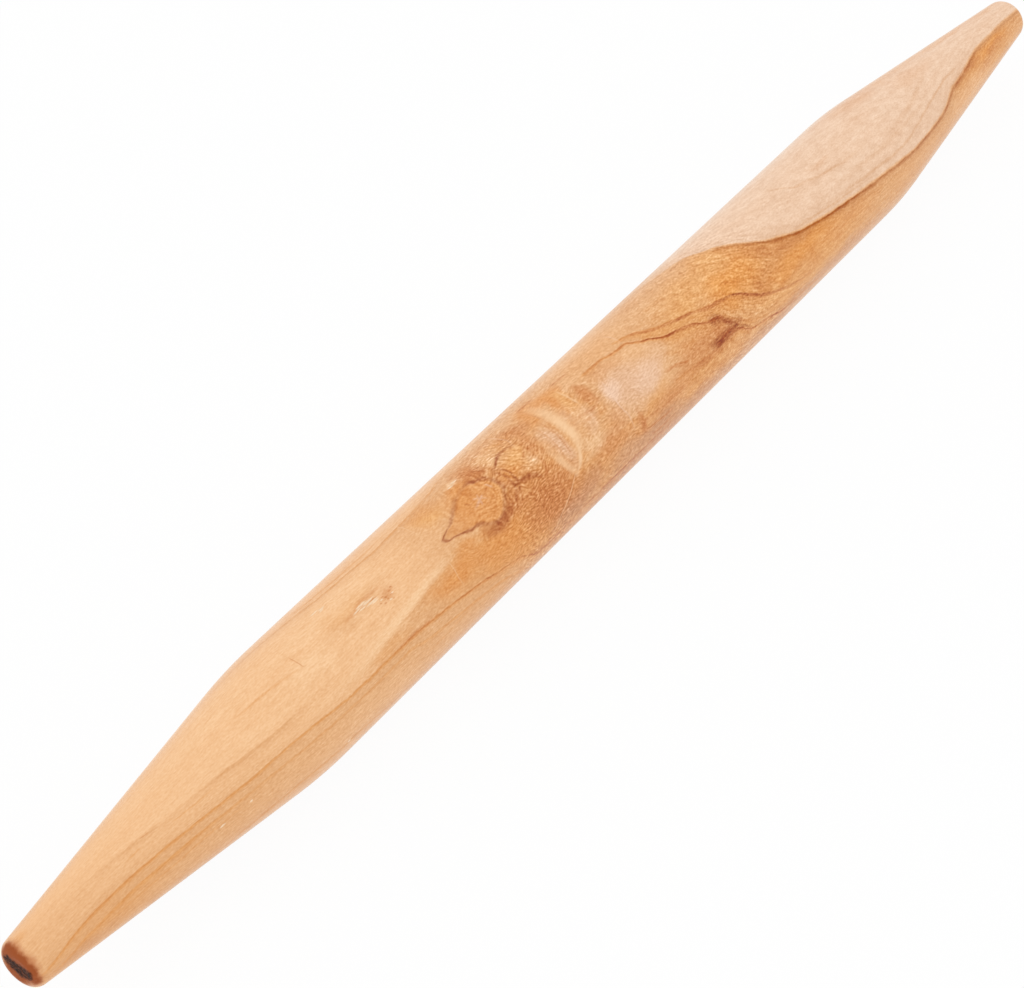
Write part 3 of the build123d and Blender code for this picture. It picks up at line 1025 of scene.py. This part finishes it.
class PinShape(bpy.types.PropertyGroup):
    """Sizes of the turned pin."""

    overall_length: FloatProperty(
        name="Overall length", description="From tip to tip", unit="LENGTH", default=CAD_SIZE.x)
    barrel_diameter: FloatProperty(
        name="Barrel diameter", description="Across the straight part", unit="LENGTH",
        default=CAD_SIZE.z)
    taper_length: FloatProperty(
        name="Taper length", description="From a tip to its shoulder", unit="LENGTH",
        default=99.5 * MM)
    tip_diameter: FloatProperty(
        name="Tip diameter", description="Where the taper meets the end, before its edge is eased",
        unit="LENGTH", default=13.8 * MM)
    tip_edge_radius: FloatProperty(
        name="Tip edge radius", description="Rounding of the tip's edge", unit="LENGTH",
        default=3.2 * MM)
    shoulder_radius: FloatProperty(
        name="Shoulder radius", description="Curve between taper and barrel", unit="LENGTH",
        default=160 * MM)
    step: FloatProperty(
        name="Step along", description="Spacing of the skin's rings", unit="LENGTH",
        default=1.0 * MM)
    segments: IntProperty(
        name="Segments", description="Faces round the skin", default=144, min=24)
    face_rings: IntProperty(
        name="Rings on a tip", description="Rings of faces on a flat end", default=9, min=2)
    edge_rings: IntProperty(
        name="Rings on an edge", description="Rings of faces round a tip's edge", default=12,
        min=2)


def wood_colour(name, description, hex_colour):
    """A colour property of the wood."""
    return FloatVectorProperty(
        name=name, description=description, subtype="COLOR", default=linear(hex_colour))


class PinWood(bpy.types.PropertyGroup):
    """Colours of the wood."""

    cream: wood_colour("Cream", "Palest heartwood", "#FDD1A2")
    pale: wood_colour("Pale", "Pale tan heartwood", "#F6C28F")
    tan: wood_colour("Tan", "Common heartwood", "#E9B17C")
    gold: wood_colour("Gold", "Deep golden heartwood", "#E6A362")
    honey: wood_colour("Honey", "Bright golden heartwood", "#EEAF6D")
    amber: wood_colour("Amber", "Warm heartwood by the knot", "#E59A54")
    orange: wood_colour("Orange", "Warm heartwood by the sapwood", "#EC9F50")
    rust: wood_colour("Rust", "Streaks past the knot", "#DC955B")
    brown: wood_colour("Brown", "Dark wood round the knot", "#D08348")
    gum: wood_colour("Gum", "Gum lines", "#A44A12")
    umber: wood_colour("Umber", "Dark heartwood against the sapwood", "#B05A06")
    # Rosy is partly the wood's tint and partly painted shade and reflection along the pin's lower
    # side
    rosy_tint_and_shade: wood_colour("Rosy", "Dull pinkish brown wood", "#D2986D")
    blush: wood_colour("Blush", "Pinkish pale wood", "#EBBB94")
    shell: wood_colour("Shell", "Palest pinkish wood", "#F6CEB0")
    sapwood: wood_colour("Sapwood", "Pale wood under the bark", "#F5D2B4")
    fawn: wood_colour("Fawn", "Faint lines in the sapwood", "#DEA97C")
    torn: wood_colour("Torn", "Dry fibres in a nick", "#FDE3C2")
    toasted: wood_colour("Toasted", "Fringe of the scorch", "#CC8656")
    burnt: wood_colour("Burnt", "Red brown scorch", "#9E5028")
    char: wood_colour("Char", "Charred end grain", "#1F0E08")


class PinStage(bpy.types.PropertyGroup):
    """The camera, lamps and floor."""

    azimuth: FloatProperty(
        name="Camera azimuth", description="Round the pin from a view along +Y", subtype="ANGLE",
        default=radians(-54.35))
    elevation: FloatProperty(
        name="Camera elevation", description="Above the floor", subtype="ANGLE",
        default=radians(43.66))
    distance: FloatProperty(
        name="Camera distance", description="From the point it looks at", unit="LENGTH",
        default=833.3 * MM)
    aim: FloatProperty(
        name="Camera aim", description="Point on the pin's axis it looks at", unit="LENGTH",
        default=-43.1 * MM)
    lens: FloatProperty(
        name="Lens", description="Focal length in mm", default=102.55)
    sensor: FloatProperty(
        name="Sensor", description="Width of the camera's sensor in mm", default=36.0)
    far: FloatProperty(
        name="Far limit", description="How far the camera sees", unit="LENGTH", default=20.0)
    room: FloatProperty(
        name="Room brightness", description="Light from the white room", default=0.95)
    lamp: FloatProperty(
        name="Softbox power", description="Power of the soft lamp", subtype="POWER", default=2.0)
    lamp_width: FloatProperty(
        name="Softbox width", description="Long side of the soft lamp", unit="LENGTH",
        default=1.6)
    lamp_height: FloatProperty(
        name="Softbox height", description="Short side of the soft lamp", unit="LENGTH",
        default=1.2)
    lamp_place: FloatVectorProperty(
        name="Softbox place", description="High on the left of the picture",
        subtype="TRANSLATION", unit="LENGTH", default=(-0.9, 0.9, 1.7))
    floor_reach: FloatProperty(
        name="Floor reach", description="From the pin's middle to the floor's sides",
        unit="LENGTH", default=6.0)
    floor_plain: FloatProperty(
        name="Floor plainness", description="How far the camera sees the floor as plain white",
        subtype="FACTOR", default=0.95)
    floor_colour: FloatVectorProperty(
        name="Floor colour", description="Plain white floor", subtype="COLOR",
        default=linear("#F8F8F7"))


class TurnPin(bpy.types.Operator):
    """Turn the rolling pin and oil it"""

    bl_idname = "rolling_pin.turn"
    bl_label = "Turn Pin"

    def execute(self, context):
        shape = context.scene.pin_shape
        pin = bpy.data.objects.new("french_rolling_pin", turned_mesh(shape))
        context.scene.collection.objects.link(pin)
        pin.data.materials.append(oiled_hardwood(shape, context.scene.pin_wood))
        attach(pin, "root")
        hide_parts("rolling_pin")
        return {"FINISHED"}


def camera_back(stage):
    """The direction from the object to the camera."""
    level = cos(stage.elevation)
    return Vector((sin(stage.azimuth) * level, -cos(stage.azimuth) * level, sin(stage.elevation)))


def white_paper(colour, plain):
    """Matt white paper, which takes a soft shadow and shows no sheen.

    The camera sees it mostly as plain white, as in a studio where the floor is lit apart.
    """
    material = bpy.data.materials.new("matt_white_paper")
    material.use_nodes = True
    tree = material.node_tree
    tree.nodes.clear()
    paper = add(tree, "BsdfDiffuse", (*colour, 1.0))
    white = add(tree, "Emission", (1.0, 1.0, 1.0, 1.0), 1.0)
    ray = add(tree, "LightPath").node.outputs
    seen = add(tree, "Math", ray["Is Camera Ray"], ray["Is Glossy Ray"], operation="MAXIMUM")
    seen = add(tree, "Math", seen, ray["Is Transmission Ray"], operation="MAXIMUM")
    share = add(tree, "Math", seen, plain, operation="MULTIPLY")
    add(tree, "OutputMaterial", add(tree, "MixShader", share, paper, white))
    return material


class SetStage(bpy.types.Operator):
    """Add the floor, the lamp and the camera"""

    bl_idname = "rolling_pin.set_stage"
    bl_label = "Set Stage"

    def execute(self, context):
        scene = context.scene
        stage = scene.pin_stage
        scene.view_settings.view_transform = "Standard"

        size = stage.floor_reach
        height = CAD_BOX[0].z
        mesh = bpy.data.meshes.new("studio_floor")
        corners = [(-size, -size), (size, -size), (size, size), (-size, size)]
        mesh.from_pydata([(x, y, height) for x, y in corners], [], [(0, 1, 2, 3)])
        mesh.materials.append(white_paper(stage.floor_colour, stage.floor_plain))
        floor = bpy.data.objects.new("studio_floor", mesh)
        scene.collection.objects.link(floor)

        # An even white room, and a big soft lamp high on the left of the picture
        world = bpy.data.worlds.new("white_room")
        world.use_nodes = True
        background = world.node_tree.nodes["Background"]
        background.inputs["Color"].default_value = (1, 1, 1, 1)
        background.inputs["Strength"].default_value = stage.room
        scene.world = world
        lamp_data = bpy.data.lights.new("softbox", "AREA")
        lamp_data.shape = "RECTANGLE"
        lamp_data.size = stage.lamp_width
        lamp_data.size_y = stage.lamp_height
        lamp_data.energy = stage.lamp
        lamp = bpy.data.objects.new("softbox", lamp_data)
        lamp.location = stage.lamp_place
        lamp.rotation_euler = lamp.location.to_track_quat("Z", "Y").to_euler()
        scene.collection.objects.link(lamp)

        data = bpy.data.cameras.new("studio_camera")
        data.lens = stage.lens
        data.sensor_width = stage.sensor
        data.clip_end = stage.far
        camera = bpy.data.objects.new("studio_camera", data)
        back = camera_back(stage)
        camera.location = Vector((stage.aim, 0, 0)) + back * stage.distance
        camera.rotation_euler = back.to_track_quat("Z", "Y").to_euler()
        scene.collection.objects.link(camera)
        scene.camera = camera
        return {"FINISHED"}


class PinPanel(bpy.types.Panel):
    """Rolling pin tools"""

    bl_idname = "VIEW3D_PT_rolling_pin"
    bl_label = "Rolling Pin"
    bl_space_type = "VIEW_3D"
    bl_region_type = "UI"
    bl_category = "Rolling Pin"

    def draw(self, context):
        layout = self.layout
        for operator in (TurnPin, SetStage):
            layout.operator(operator.bl_idname)
        for group in GROUPS:
            box = layout.box()
            settings = getattr(context.scene, group)
            for name in GROUPS[group].__annotations__:
                box.prop(settings, name)


CLASSES = (PinShape, PinWood, PinStage, TurnPin, SetStage, PinPanel)
GROUPS = {"pin_shape": PinShape, "pin_wood": PinWood, "pin_stage": PinStage}


def register():
    for cls in CLASSES:
        bpy.utils.register_class(cls)
    for name, group in GROUPS.items():
        setattr(bpy.types.Scene, name, PointerProperty(type=group))


def unregister():
    for name in GROUPS:
        delattr(bpy.types.Scene, name)
    for cls in reversed(CLASSES):
        bpy.utils.unregister_class(cls)


def main():
    register()
    bpy.ops.rolling_pin.turn()
    bpy.ops.rolling_pin.set_stage()


if __name__ == "__main__":
    main()
